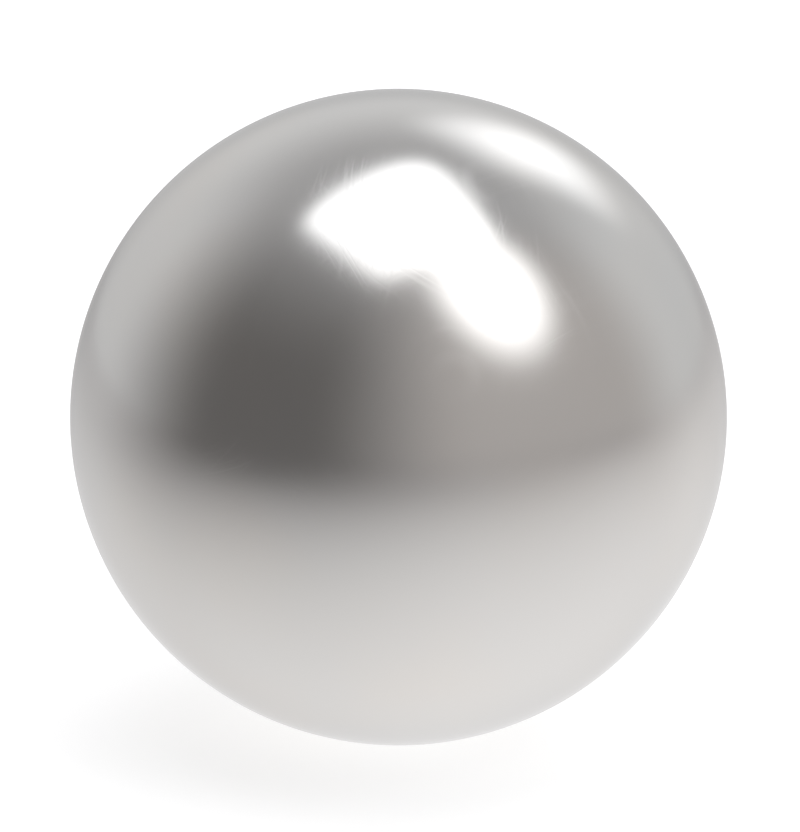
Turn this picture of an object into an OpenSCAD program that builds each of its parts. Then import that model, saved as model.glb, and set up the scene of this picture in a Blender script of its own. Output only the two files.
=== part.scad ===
/* [Ball] */
// Finished diameter of the ball: 25.4 is the standard 1 inch size
ball_d = 25.4; // [1:0.1:100]

/* [Hidden] */

// Facets around the equator of the preview; the ball itself is an exact sphere
preview_facets = 180;
// Bare hardened chrome steel, ground and lapped bright all over
polished_steel = [0.74, 0.73, 0.71];

// One solid ball, with no bore, flat, seam or coating, centred on the origin
module ball() {
    color(polished_steel)
        sphere(d = ball_d, $fn = preview_facets);
}

ball();
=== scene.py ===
import math
from collections import namedtuple

import bmesh
import bpy
from mathutils import Matrix, Vector


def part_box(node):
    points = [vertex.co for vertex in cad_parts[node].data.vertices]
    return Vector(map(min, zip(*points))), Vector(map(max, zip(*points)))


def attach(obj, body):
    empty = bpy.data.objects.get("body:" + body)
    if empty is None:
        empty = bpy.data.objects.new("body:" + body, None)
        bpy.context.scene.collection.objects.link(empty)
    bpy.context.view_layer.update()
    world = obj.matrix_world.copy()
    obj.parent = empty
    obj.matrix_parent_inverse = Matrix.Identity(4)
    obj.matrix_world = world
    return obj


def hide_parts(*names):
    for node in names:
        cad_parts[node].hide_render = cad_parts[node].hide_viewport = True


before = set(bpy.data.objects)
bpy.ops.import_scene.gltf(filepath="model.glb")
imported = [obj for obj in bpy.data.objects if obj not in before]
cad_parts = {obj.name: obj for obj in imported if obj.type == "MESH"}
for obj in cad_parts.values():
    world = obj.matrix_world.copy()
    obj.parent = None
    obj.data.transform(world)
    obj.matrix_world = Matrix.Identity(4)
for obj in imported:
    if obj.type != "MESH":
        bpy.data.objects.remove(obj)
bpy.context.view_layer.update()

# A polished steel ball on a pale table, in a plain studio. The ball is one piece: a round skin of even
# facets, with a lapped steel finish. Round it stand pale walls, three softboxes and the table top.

MM = 0.001

# ------------------------------------------------------------------ the ball, from the frame
BALL_NODE = "ball"
ball_low, ball_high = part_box(BALL_NODE)
RADIUS = (ball_high.z - ball_low.z) / 2

FACETS_A_SIDE = 96  # along each side of the six patches that make up the skin
BAKE_MAP = "OFBake"
PATCHES_A_ROW = 3
PATCH_ROWS = 2
PATCH_MARGIN = 0.02  # kept clear round each patch of the map, as a share of the patch

# ------------------------------------------------------------------ the steel
# A blend gives the two levels of the noise, from 0 to 1, between which it fades from one look to the other.
COOL_STEEL = (0.710, 0.700, 0.680)
WARM_STEEL = (0.720, 0.700, 0.670)
TINT_SIZE = 9 * MM  # of the patches of cool and warm steel
TINT_BLEND = (0.35, 0.65)
EDGE_BRIGHTNESS = (0.80, 0.80, 0.80)  # near the rim, where steel mirrors less than the brightest metals do
POLISH = 0.192  # roughness of the lapped skin
CLOUD_SIZE = 5 * MM  # of the faint clouds in the polish
CLOUD_BLEND = (0.3, 0.7)
CLOUD_DETAIL = 4
CLOUD_HAZE = 0.03  # how much rougher the haziest cloud is than the clearest
RIPPLE_SIZE = 4 * MM  # of the slow waviness that lapping leaves
RIPPLE_HEIGHT = 0.002 * MM
LAP_SPACING = 0.08 * MM  # between neighbouring lapping marks
LAP_BLEND = (0.56, 0.70)  # only the strongest noise makes a mark
LAP_PATCH = 3.5 * MM  # length over which a bundle of marks comes and goes
LAP_PATCH_BLEND = (0.48, 0.66)
LAP_DEPTH = 0.0002 * MM
LAP_HAZE = 0.04  # how much rougher a mark is than the skin
LAP_AXES = (  # the ball turned about each of these in the lap
    (0.28, -0.52, 0.81),
    (0.87, 0.12, 0.47),
    (-0.64, 0.66, 0.39),
    (-0.15, 0.93, -0.34),
    (0.55, 0.62, -0.56),
    (-0.78, -0.21, 0.59),
)

# ------------------------------------------------------------------ the studio
# Directions are in degrees, as seen from the ball: round to the right from the camera's side, and up.
# A turn is the middle of a change, and over how many degrees it blends.
WHITE = (1, 1, 1)
LEFT_WALL = (0.737, 0.737, 0.749)
DARK_WALL = (0.148, 0.143, 0.142)
GREY_WALL = (0.504, 0.487, 0.485)
RIGHT_WALL = (0.716, 0.727, 0.747)
BACK_WALL = (0.871, 0.872, 0.885)
CEILING = (0.324, 0.322, 0.330)
WALL_TURNS = (  # each turn from one wall to the next, from the left round to the right, and that next wall
    (-98, 64, DARK_WALL),
    (-1, 61, GREY_WALL),
    (100, 35, RIGHT_WALL),
)
BACK_WALL_TURN = (150, 50)
CEILING_TURN = (51, 52)
SHADE_BEHIND = 0.84  # of the backdrop's brightness, right behind the ball
SHADE_TURN = (34, 16)  # off the line from the camera through the ball

LIGHT_REACH = 100 * RADIUS  # from the ball to each softbox
LAMP_COLOUR = (0.980, 0.992, 1.020)  # a touch cool, so that steel mirrors it as white
Softbox = namedtuple("Softbox", "azimuth elevation turn width height fade squareness brightness")
SOFTBOXES = {  # widths and heights are shares of the reach, and the fade is a share of the half width
    "overhead_softbox": Softbox(4, 85.9, 31, 0.880, 0.838, 0.245, 6.0, 1.70),
    "side_softbox": Softbox(49.6, 51, 5, 0.866, 1.158, 1.0, 2.06, 2.77),
    "back_softbox": Softbox(151.7, 39, -19, 0.724, 0.830, 1.0, 2.93, 1.18),
}

TABLE_REACH = 140 * RADIUS
TABLE_SIDES = 96
# The pool of light on the table is painted light: the table glows with it for the steel only.
PAINTED_POOL_MIDDLE = (1.197, 1.190, 1.203)  # what the steel sees of the painted pool of light round the ball's foot, a glow put on the table
PAINTED_POOL_EDGE = (0.341, 0.322, 0.325)
POOL_REACH = 5.1 * RADIUS  # where the pool has half faded
POOL_POWER = 1.7  # how steeply it fades there
POOL_TO_RIGHT = 0.24  # how much brighter it is at the right, and dimmer at the left
POOL_TO_BACK = 0.37
POOL_SLOPE_REACH = 6 * RADIUS  # how far away the right and the back have those shares
PAINTED_WALLS_FROM = 9.5 * RADIUS  # where the table's painted glow takes on as much of the walls' colour, a painted reflection of them, as of the pool's
PAINTED_WALLS_POWER = 0.7  # how steeply that grows
TABLE_PAPER = (0.60, 0.60, 0.60)  # how much of the lamps' light the table gives back
TABLE_GLOW = 0.64  # its own light near the ball, low enough for a faint shadow to show
FAR_GLOW = 1.0
GLOW_RISE = (8 * RADIUS, 30 * RADIUS)

# ------------------------------------------------------------------ the camera
CAMERA_UP = 14  # degrees above level
LENS_MM = 120
SENSOR_MM = 36
BALL_SHARE = 0.7897  # of the frame's height that the ball spans
BALL_TO_LEFT = 0.0018  # of its centre from the frame's centre, as a share of the frame's height
BALL_TO_FOOT = 0.0013
CLIP_SPAN = 100  # times nearer and farther than the ball that the camera still sees


# ------------------------------------------------------------------ node trees
def fill(tree, socket, value):
    """Links an output to a socket, or sets the socket's own value."""
    if isinstance(value, bpy.types.NodeSocket):
        tree.links.new(value, socket)
    else:
        socket.default_value = value


def node(tree, kind, inputs=None, **settings):
    """Adds a node, with its inputs given by name or number."""
    made = tree.nodes.new(kind)
    for name, value in settings.items():
        setattr(made, name, value)
    for name, value in (inputs or {}).items():
        fill(tree, made.inputs[name], value)
    return made


def maths(tree, operation, *values):
    """One step of arithmetic on numbers."""
    return node(tree, "ShaderNodeMath", dict(enumerate(values)), operation=operation).outputs[0]


def vectors(tree, operation, *values, output=0):
    """One step of arithmetic on vectors."""
    made = node(tree, "ShaderNodeVectorMath", dict(enumerate(values)), operation=operation)
    return made.outputs[output]


def scaled(tree, vector, scale):
    """A vector or a colour, made so many times longer or brighter."""
    return node(tree, "ShaderNodeVectorMath", {0: vector, "Scale": scale}, operation="SCALE").outputs[0]


def eased(tree, value, start, end, low=0.0, high=1.0):
    """Climbs smoothly from low to high as value goes from start to end."""
    limits = {"Value": value, "From Min": start, "From Max": end, "To Min": low, "To Max": high}
    return node(tree, "ShaderNodeMapRange", limits, interpolation_type="SMOOTHSTEP").outputs["Result"]


def straight(tree, value, start, end, low, high):
    """Climbs evenly from low to high as value goes from start to end."""
    limits = {"Value": value, "From Min": start, "From Max": end, "To Min": low, "To Max": high}
    return node(tree, "ShaderNodeMapRange", limits).outputs["Result"]


def turned(tree, value, turn, low=0.0, high=1.0):
    """Climbs smoothly from low to high round a turning point, over its blend."""
    middle, blend = turn
    return eased(tree, value, middle - blend / 2, middle + blend / 2, low, high)


def tinted(tree, share, start, end):
    """A colour on the way from start to end."""
    ends = [colour if isinstance(colour, bpy.types.NodeSocket) else (*colour, 1) for colour in (start, end)]
    made = node(tree, "ShaderNodeMix", {0: share, 6: ends[0], 7: ends[1]}, data_type="RGBA")
    return made.outputs[2]


def noise(tree, place, size, detail=2, kind="3D"):
    """Cloudy noise from 0 to 1, whose clouds are about that size."""
    where = {"Vector": place} if kind == "3D" else {"W": place}
    settings = {**where, "Scale": 1 / size, "Detail": detail}
    return node(tree, "ShaderNodeTexNoise", settings, noise_dimensions=kind).outputs["Fac"]


def node_group(name, kind, inputs, outputs):
    """A node group with named sockets. Returns it with its given values and its result node."""
    group = bpy.data.node_groups.new(name, kind)
    for title, socket_type in inputs:
        group.interface.new_socket(title, in_out="INPUT", socket_type=socket_type)
    for title, socket_type in outputs:
        group.interface.new_socket(title, in_out="OUTPUT", socket_type=socket_type)
    return group, node(group, "NodeGroupInput").outputs, node(group, "NodeGroupOutput")


def placed(tree, group, **inputs):
    """Puts a shader node group in a tree, with its own values, and returns its first output."""
    made = node(tree, "ShaderNodeGroup", node_tree=group)
    for name, value in inputs.items():
        fill(tree, made.inputs[name.replace("_", " ")], value)
    return made.outputs[0]


# ------------------------------------------------------------------ the ball's skin
def round_skin_tree():
    """Blows a finely divided cube up into a ball of even facets, which has no poles."""
    tree, given, result = node_group(
        "round_skin",
        "GeometryNodeTree",
        [("Radius", "NodeSocketFloat"), ("Facets", "NodeSocketInt"), ("Finish", "NodeSocketMaterial")],
        [("Ball", "NodeSocketGeometry")],
    )
    corners = node(tree, "FunctionNodeIntegerMath", {0: given["Facets"], 1: 1}, operation="ADD").outputs[0]
    counts = {"Vertices X": corners, "Vertices Y": corners, "Vertices Z": corners}
    cube = node(tree, "GeometryNodeMeshCube", {"Size": (2, 2, 2), **counts}).outputs["Mesh"]
    place = node(tree, "GeometryNodeInputPosition").outputs[0]
    half_face = math.pi / 4
    evened = vectors(tree, "TANGENT", scaled(tree, place, half_face))
    outward = vectors(tree, "NORMALIZE", evened)
    spread = scaled(tree, outward, given["Radius"])
    blown = node(tree, "GeometryNodeSetPosition", {"Geometry": cube, "Position": spread})
    smooth = node(tree, "GeometryNodeSetShadeSmooth", {"Geometry": blown.outputs[0]})
    real = node(tree, "GeometryNodeRealizeInstances", {"Geometry": smooth.outputs[0]})
    finished = {"Geometry": real.outputs[0], "Material": given["Finish"]}
    fill(tree, result.inputs["Ball"], node(tree, "GeometryNodeSetMaterial", finished).outputs[0])
    return tree


def grown_mesh(name, tree, **values):
    """Runs a geometry tree and returns what it makes as a plain mesh."""
    maker = bpy.data.objects.new(name + "_maker", bpy.data.meshes.new(name + "_maker"))
    bpy.context.scene.collection.objects.link(maker)
    modifier = maker.modifiers.new(name, "NODES")
    modifier.node_group = tree
    for socket in tree.interface.items_tree:
        if socket.in_out == "INPUT":
            modifier[socket.identifier] = values[socket.name]
    bpy.context.view_layer.update()
    evaluated = maker.evaluated_get(bpy.context.evaluated_depsgraph_get())
    mesh = bpy.data.meshes.new_from_object(evaluated)
    mesh.name = name
    maker.modifiers.clear()
    bpy.data.objects.remove(maker)
    return mesh


def lay_out_bake_map(mesh):
    """Unfolds the six patches into a map, evenly by angle, so that nothing on the skin is pinched."""
    layer = mesh.uv_layers.new(name=BAKE_MAP)
    patch = math.pi / 2
    for face in mesh.polygons:
        axis = max(range(3), key=lambda a: abs(face.center[a]))
        far_side = face.center[axis] > 0
        for corner in face.loop_indices:
            place = mesh.vertices[mesh.loops[corner].vertex_index].co
            depth = abs(place[axis])
            across = math.atan2(place[(axis + 1) % 3], depth) / patch + 0.5
            up = math.atan2(place[(axis + 2) % 3], depth) / patch + 0.5
            if not far_side:
                across = 1 - across
            across, up = (PATCH_MARGIN + share * (1 - 2 * PATCH_MARGIN) for share in (across, up))
            layer.uv[corner].vector = ((axis + across) / PATCHES_A_ROW, (far_side + up) / PATCH_ROWS)


# ------------------------------------------------------------------ the steel finish
def lapping_marks_group():
    """Bundles of fine marks round an axis, such as a lap leaves as the ball turns in it."""
    group, given, result = node_group(
        "lapping_marks",
        "ShaderNodeTree",
        [
            ("Place", "NodeSocketVector"),
            ("Axis", "NodeSocketVector"),
            ("Spacing", "NodeSocketFloat"),
            ("Patch", "NodeSocketFloat"),
        ],
        [("Marks", "NodeSocketFloat")],
    )
    along = vectors(group, "DOT_PRODUCT", given["Place"], given["Axis"], output=1)
    steps = maths(group, "DIVIDE", along, given["Spacing"])
    lines = eased(group, noise(group, steps, 1, kind="1D"), *LAP_BLEND)
    patches = maths(group, "DIVIDE", 1, given["Patch"])
    shifted = vectors(group, "ADD", scaled(group, given["Place"], patches), given["Axis"])
    bundles = eased(group, noise(group, shifted, 1), *LAP_PATCH_BLEND)
    fill(group, result.inputs["Marks"], maths(group, "MULTIPLY", lines, bundles))
    return group


def polished_steel():
    """Bare chrome steel, ground and lapped bright, with the faint marks and clouds that lapping leaves."""
    steel = bpy.data.materials.new("polished_steel")
    steel.use_nodes = True
    tree = steel.node_tree
    shader = tree.nodes["Principled BSDF"].inputs
    shader["Metallic"].default_value = 1
    shader["Specular Tint"].default_value = (*EDGE_BRIGHTNESS, 1)
    place = node(tree, "ShaderNodeTexCoord").outputs["Object"]

    group = lapping_marks_group()
    marks = 0.0
    for axis in LAP_AXES:
        turn = placed(tree, group, Place=place, Axis=axis, Spacing=LAP_SPACING, Patch=LAP_PATCH)
        marks = maths(tree, "MAXIMUM", marks, turn)

    tint = eased(tree, noise(tree, place, TINT_SIZE), *TINT_BLEND)
    fill(tree, shader["Base Color"], tinted(tree, tint, COOL_STEEL, WARM_STEEL))

    clouds = eased(tree, noise(tree, place, CLOUD_SIZE, detail=CLOUD_DETAIL), *CLOUD_BLEND)
    cloudy = straight(tree, clouds, 0, 1, POLISH - CLOUD_HAZE / 2, POLISH + CLOUD_HAZE / 2)
    fill(tree, shader["Roughness"], maths(tree, "MULTIPLY_ADD", marks, LAP_HAZE, cloudy))

    ripple = maths(tree, "MULTIPLY", noise(tree, place, RIPPLE_SIZE), RIPPLE_HEIGHT)
    relief = maths(tree, "MULTIPLY_ADD", marks, -LAP_DEPTH, ripple)
    bump = node(tree, "ShaderNodeBump", {"Height": relief, "Distance": 1, "Strength": 1})
    fill(tree, shader["Normal"], bump.outputs[0])
    return steel


# ------------------------------------------------------------------ the studio
def heading(azimuth, elevation):
    """The direction from the ball that is so far round from the camera's side and so far up."""
    a = math.radians(azimuth)
    e = math.radians(elevation)
    return Vector((math.sin(a) * math.cos(e), -math.cos(a) * math.cos(e), math.sin(e)))


def walls_group():
    """The colour of the wall in each direction from the ball."""
    group, given, result = node_group(
        "studio_walls",
        "ShaderNodeTree",
        [("Direction", "NodeSocketVector")],
        [("Wall", "NodeSocketColor")],
    )
    x, y, _ = node(group, "ShaderNodeSeparateXYZ", {0: given["Direction"]}).outputs
    toward_camera = maths(group, "MULTIPLY", y, -1)
    azimuth = maths(group, "DEGREES", maths(group, "ARCTAN2", x, toward_camera))
    wall = LEFT_WALL
    for middle, blend, next_wall in WALL_TURNS:
        wall = tinted(group, turned(group, azimuth, (middle, blend)), wall, next_wall)
    behind = turned(group, maths(group, "ABSOLUTE", azimuth), BACK_WALL_TURN)
    fill(group, result.inputs["Wall"], tinted(group, behind, wall, BACK_WALL))
    return group


def backdrop_shade_group():
    """The backdrop is a little dimmer right behind the ball, in line with the camera."""
    group, given, result = node_group(
        "backdrop_shade",
        "ShaderNodeTree",
        [("Direction", "NodeSocketVector")],
        [("Shade", "NodeSocketFloat")],
    )
    outward = vectors(group, "NORMALIZE", given["Direction"])
    in_line = vectors(group, "DOT_PRODUCT", outward, heading(180, -CAMERA_UP), output=1)
    off_line = maths(group, "DEGREES", maths(group, "ARCCOSINE", in_line))
    fill(group, result.inputs["Shade"], turned(group, off_line, SHADE_TURN, SHADE_BEHIND, 1))
    return group


def studio(walls, backdrop_shade):
    """The walls and ceiling that the steel mirrors. The camera itself sees plain white beyond the table."""
    world = bpy.data.worlds.new("studio")
    bpy.context.scene.world = world
    world.use_nodes = True
    tree = world.node_tree
    tree.nodes.clear()
    direction = node(tree, "ShaderNodeTexCoord").outputs["Generated"]
    height = node(tree, "ShaderNodeSeparateXYZ", {0: direction}).outputs[2]
    elevation = maths(tree, "DEGREES", maths(tree, "ARCSINE", height))
    wall = placed(tree, walls, Direction=direction)
    room = tinted(tree, turned(tree, elevation, CEILING_TURN), wall, CEILING)
    shaded = scaled(tree, room, placed(tree, backdrop_shade, Direction=direction))
    mirrored = node(tree, "ShaderNodeBackground", {"Color": shaded})
    plain = node(tree, "ShaderNodeBackground", {"Color": (*WHITE, 1)})
    camera_sees = node(tree, "ShaderNodeLightPath").outputs["Is Camera Ray"]
    both = node(tree, "ShaderNodeMixShader", {0: camera_sees, 1: mirrored.outputs[0], 2: plain.outputs[0]})
    node(tree, "ShaderNodeOutputWorld", {"Surface": both.outputs[0]})


def soft_front_group():
    """How bright a softbox is over its face: full in the middle, and faded out round the edge."""
    group, given, result = node_group(
        "soft_front",
        "ShaderNodeTree",
        [("Fade", "NodeSocketFloat"), ("Squareness", "NodeSocketFloat")],
        [("Brightness", "NodeSocketFloat")],
    )
    face = node(group, "ShaderNodeNewGeometry").outputs["Parametric"]
    across, up, _ = node(group, "ShaderNodeSeparateXYZ", {0: face}).outputs
    powers = []
    for share in (across, up):
        from_middle = maths(group, "ABSOLUTE", straight(group, share, 0, 1, -1, 1))
        powers.append(maths(group, "POWER", from_middle, given["Squareness"]))
    root = maths(group, "DIVIDE", 1, given["Squareness"])
    outline = maths(group, "POWER", maths(group, "ADD", *powers), root)
    full = maths(group, "SUBTRACT", 1, given["Fade"])
    fill(group, result.inputs["Brightness"], eased(group, outline, 1, full))
    return group


def softbox(name, box, front):
    """A lamp that faces the ball."""
    lamp = bpy.data.lights.new(name, "AREA")
    lamp.shape = "RECTANGLE"
    lamp.size = box.width * LIGHT_REACH
    lamp.size_y = box.height * LIGHT_REACH
    lamp.energy = box.brightness * lamp.size * lamp.size_y * math.pi
    lamp.color = LAMP_COLOUR
    lamp.use_nodes = True
    glow = placed(lamp.node_tree, front, Fade=box.fade, Squareness=box.squareness)
    fill(lamp.node_tree, lamp.node_tree.nodes["Emission"].inputs["Color"], glow)
    holder = bpy.data.objects.new(name, lamp)
    bpy.context.scene.collection.objects.link(holder)
    out = heading(box.azimuth, box.elevation)
    right = heading(box.azimuth + 90, 0)
    facing = Matrix((right, out.cross(right), out)).transposed().to_4x4()
    turn = Matrix.Rotation(math.radians(box.turn), 4, "Z")
    holder.matrix_world = Matrix.Translation(out * LIGHT_REACH) @ facing @ turn
    holder.visible_camera = False


def painted_pool_of_light(tree, place, away):
    """A pool of light painted on the table near the ball, brighter at the right and the back."""
    spread = maths(tree, "POWER", maths(tree, "DIVIDE", away, POOL_REACH), POOL_POWER)
    share = maths(tree, "DIVIDE", 1, maths(tree, "ADD", 1, spread))
    x, y, _ = node(tree, "ShaderNodeSeparateXYZ", {0: place}).outputs
    reach = POOL_SLOPE_REACH
    to_right = straight(tree, x, -reach, reach, -POOL_TO_RIGHT, POOL_TO_RIGHT)
    to_back = straight(tree, y, -reach, reach, -POOL_TO_BACK, POOL_TO_BACK)
    slope = maths(tree, "ADD", 1, maths(tree, "ADD", to_right, to_back))
    return scaled(tree, tinted(tree, share, PAINTED_POOL_EDGE, PAINTED_POOL_MIDDLE), slope)


def pale_table_with_painted_glow(walls, backdrop_shade):
    """The table top. To the steel it glows with a painted pool of light near the ball and, beyond, with the
    walls' colour painted in; the camera sees it plain, lit by the lamps and its own glow.
    """
    finish = bpy.data.materials.new("pale_table_with_painted_glow")
    finish.use_nodes = True
    tree = finish.node_tree
    tree.nodes.clear()
    place = node(tree, "ShaderNodeTexCoord").outputs["Object"]
    away = vectors(tree, "LENGTH", vectors(tree, "MULTIPLY", place, (1, 1, 0)), output=1)

    near = maths(tree, "POWER", maths(tree, "DIVIDE", PAINTED_WALLS_FROM, away), PAINTED_WALLS_POWER)
    far = maths(tree, "DIVIDE", 1, maths(tree, "ADD", 1, near))
    painted_pool = painted_pool_of_light(tree, place, away)
    painted_pool_and_walls = tinted(tree, far, painted_pool, placed(tree, walls, Direction=place))
    shaded = scaled(tree, painted_pool_and_walls, placed(tree, backdrop_shade, Direction=place))
    # Painted light: an emission that only the steel sees, holding the painted pool and the painted walls
    # beyond it.
    mirrored = node(tree, "ShaderNodeEmission", {"Color": shaded})

    own_light = eased(tree, away, *GLOW_RISE, TABLE_GLOW, FAR_GLOW)
    glow = node(tree, "ShaderNodeEmission", {"Strength": own_light})
    paper = node(tree, "ShaderNodeBsdfDiffuse", {"Color": (*TABLE_PAPER, 1)})
    plain = node(tree, "ShaderNodeAddShader", {0: glow.outputs[0], 1: paper.outputs[0]})
    camera_sees = node(tree, "ShaderNodeLightPath").outputs["Is Camera Ray"]
    both = node(tree, "ShaderNodeMixShader", {0: camera_sees, 1: mirrored.outputs[0], 2: plain.outputs[0]})
    node(tree, "ShaderNodeOutputMaterial", {"Surface": both.outputs[0]})
    return finish


def table(walls, backdrop_shade):
    """A wide flat top, which the ball just touches."""
    mesh = bpy.data.meshes.new("table_top")
    form = bmesh.new()
    under_ball = Matrix.Translation((0, 0, ball_low.z))
    bmesh.ops.create_circle(
        form, cap_ends=True, segments=TABLE_SIDES, radius=TABLE_REACH, matrix=under_ball
    )
    form.to_mesh(mesh)
    form.free()
    mesh.materials.append(pale_table_with_painted_glow(walls, backdrop_shade))
    top = bpy.data.objects.new("table_top", mesh)
    bpy.context.scene.collection.objects.link(top)


def camera():
    """Stands where the ball fills its share of the frame's height."""
    lens = bpy.data.cameras.new("camera")
    lens.lens = LENS_MM
    lens.sensor_width = SENSOR_MM
    half_angle = math.atan(BALL_SHARE / 2 * SENSOR_MM / LENS_MM)
    distance = RADIUS / math.sin(half_angle)
    lens.shift_x = BALL_TO_LEFT
    lens.shift_y = BALL_TO_FOOT
    lens.clip_start = distance / CLIP_SPAN
    lens.clip_end = distance * CLIP_SPAN
    eye = bpy.data.objects.new("camera", lens)
    bpy.context.scene.collection.objects.link(eye)
    back = heading(0, CAMERA_UP)
    eye.location = back * distance
    eye.rotation_euler = back.to_track_quat("Z", "Y").to_euler()
    bpy.context.scene.camera = eye


def steel_ball():
    """The ball itself, which stands for the plain CAD ball."""
    tree = round_skin_tree()
    mesh = grown_mesh("steel_ball", tree, Radius=RADIUS, Facets=FACETS_A_SIDE, Finish=polished_steel())
    lay_out_bake_map(mesh)
    ball = bpy.data.objects.new("steel_ball", mesh)
    bpy.context.scene.collection.objects.link(ball)
    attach(ball, "root")
    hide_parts(BALL_NODE)


steel_ball()
studio_walls = walls_group()
shade = backdrop_shade_group()
studio(studio_walls, shade)
table(studio_walls, shade)
soft_front = soft_front_group()
for softbox_name, softbox_form in SOFTBOXES.items():
    softbox(softbox_name, softbox_form, soft_front)
camera()
bpy.context.scene.view_settings.view_transform = "Standard"
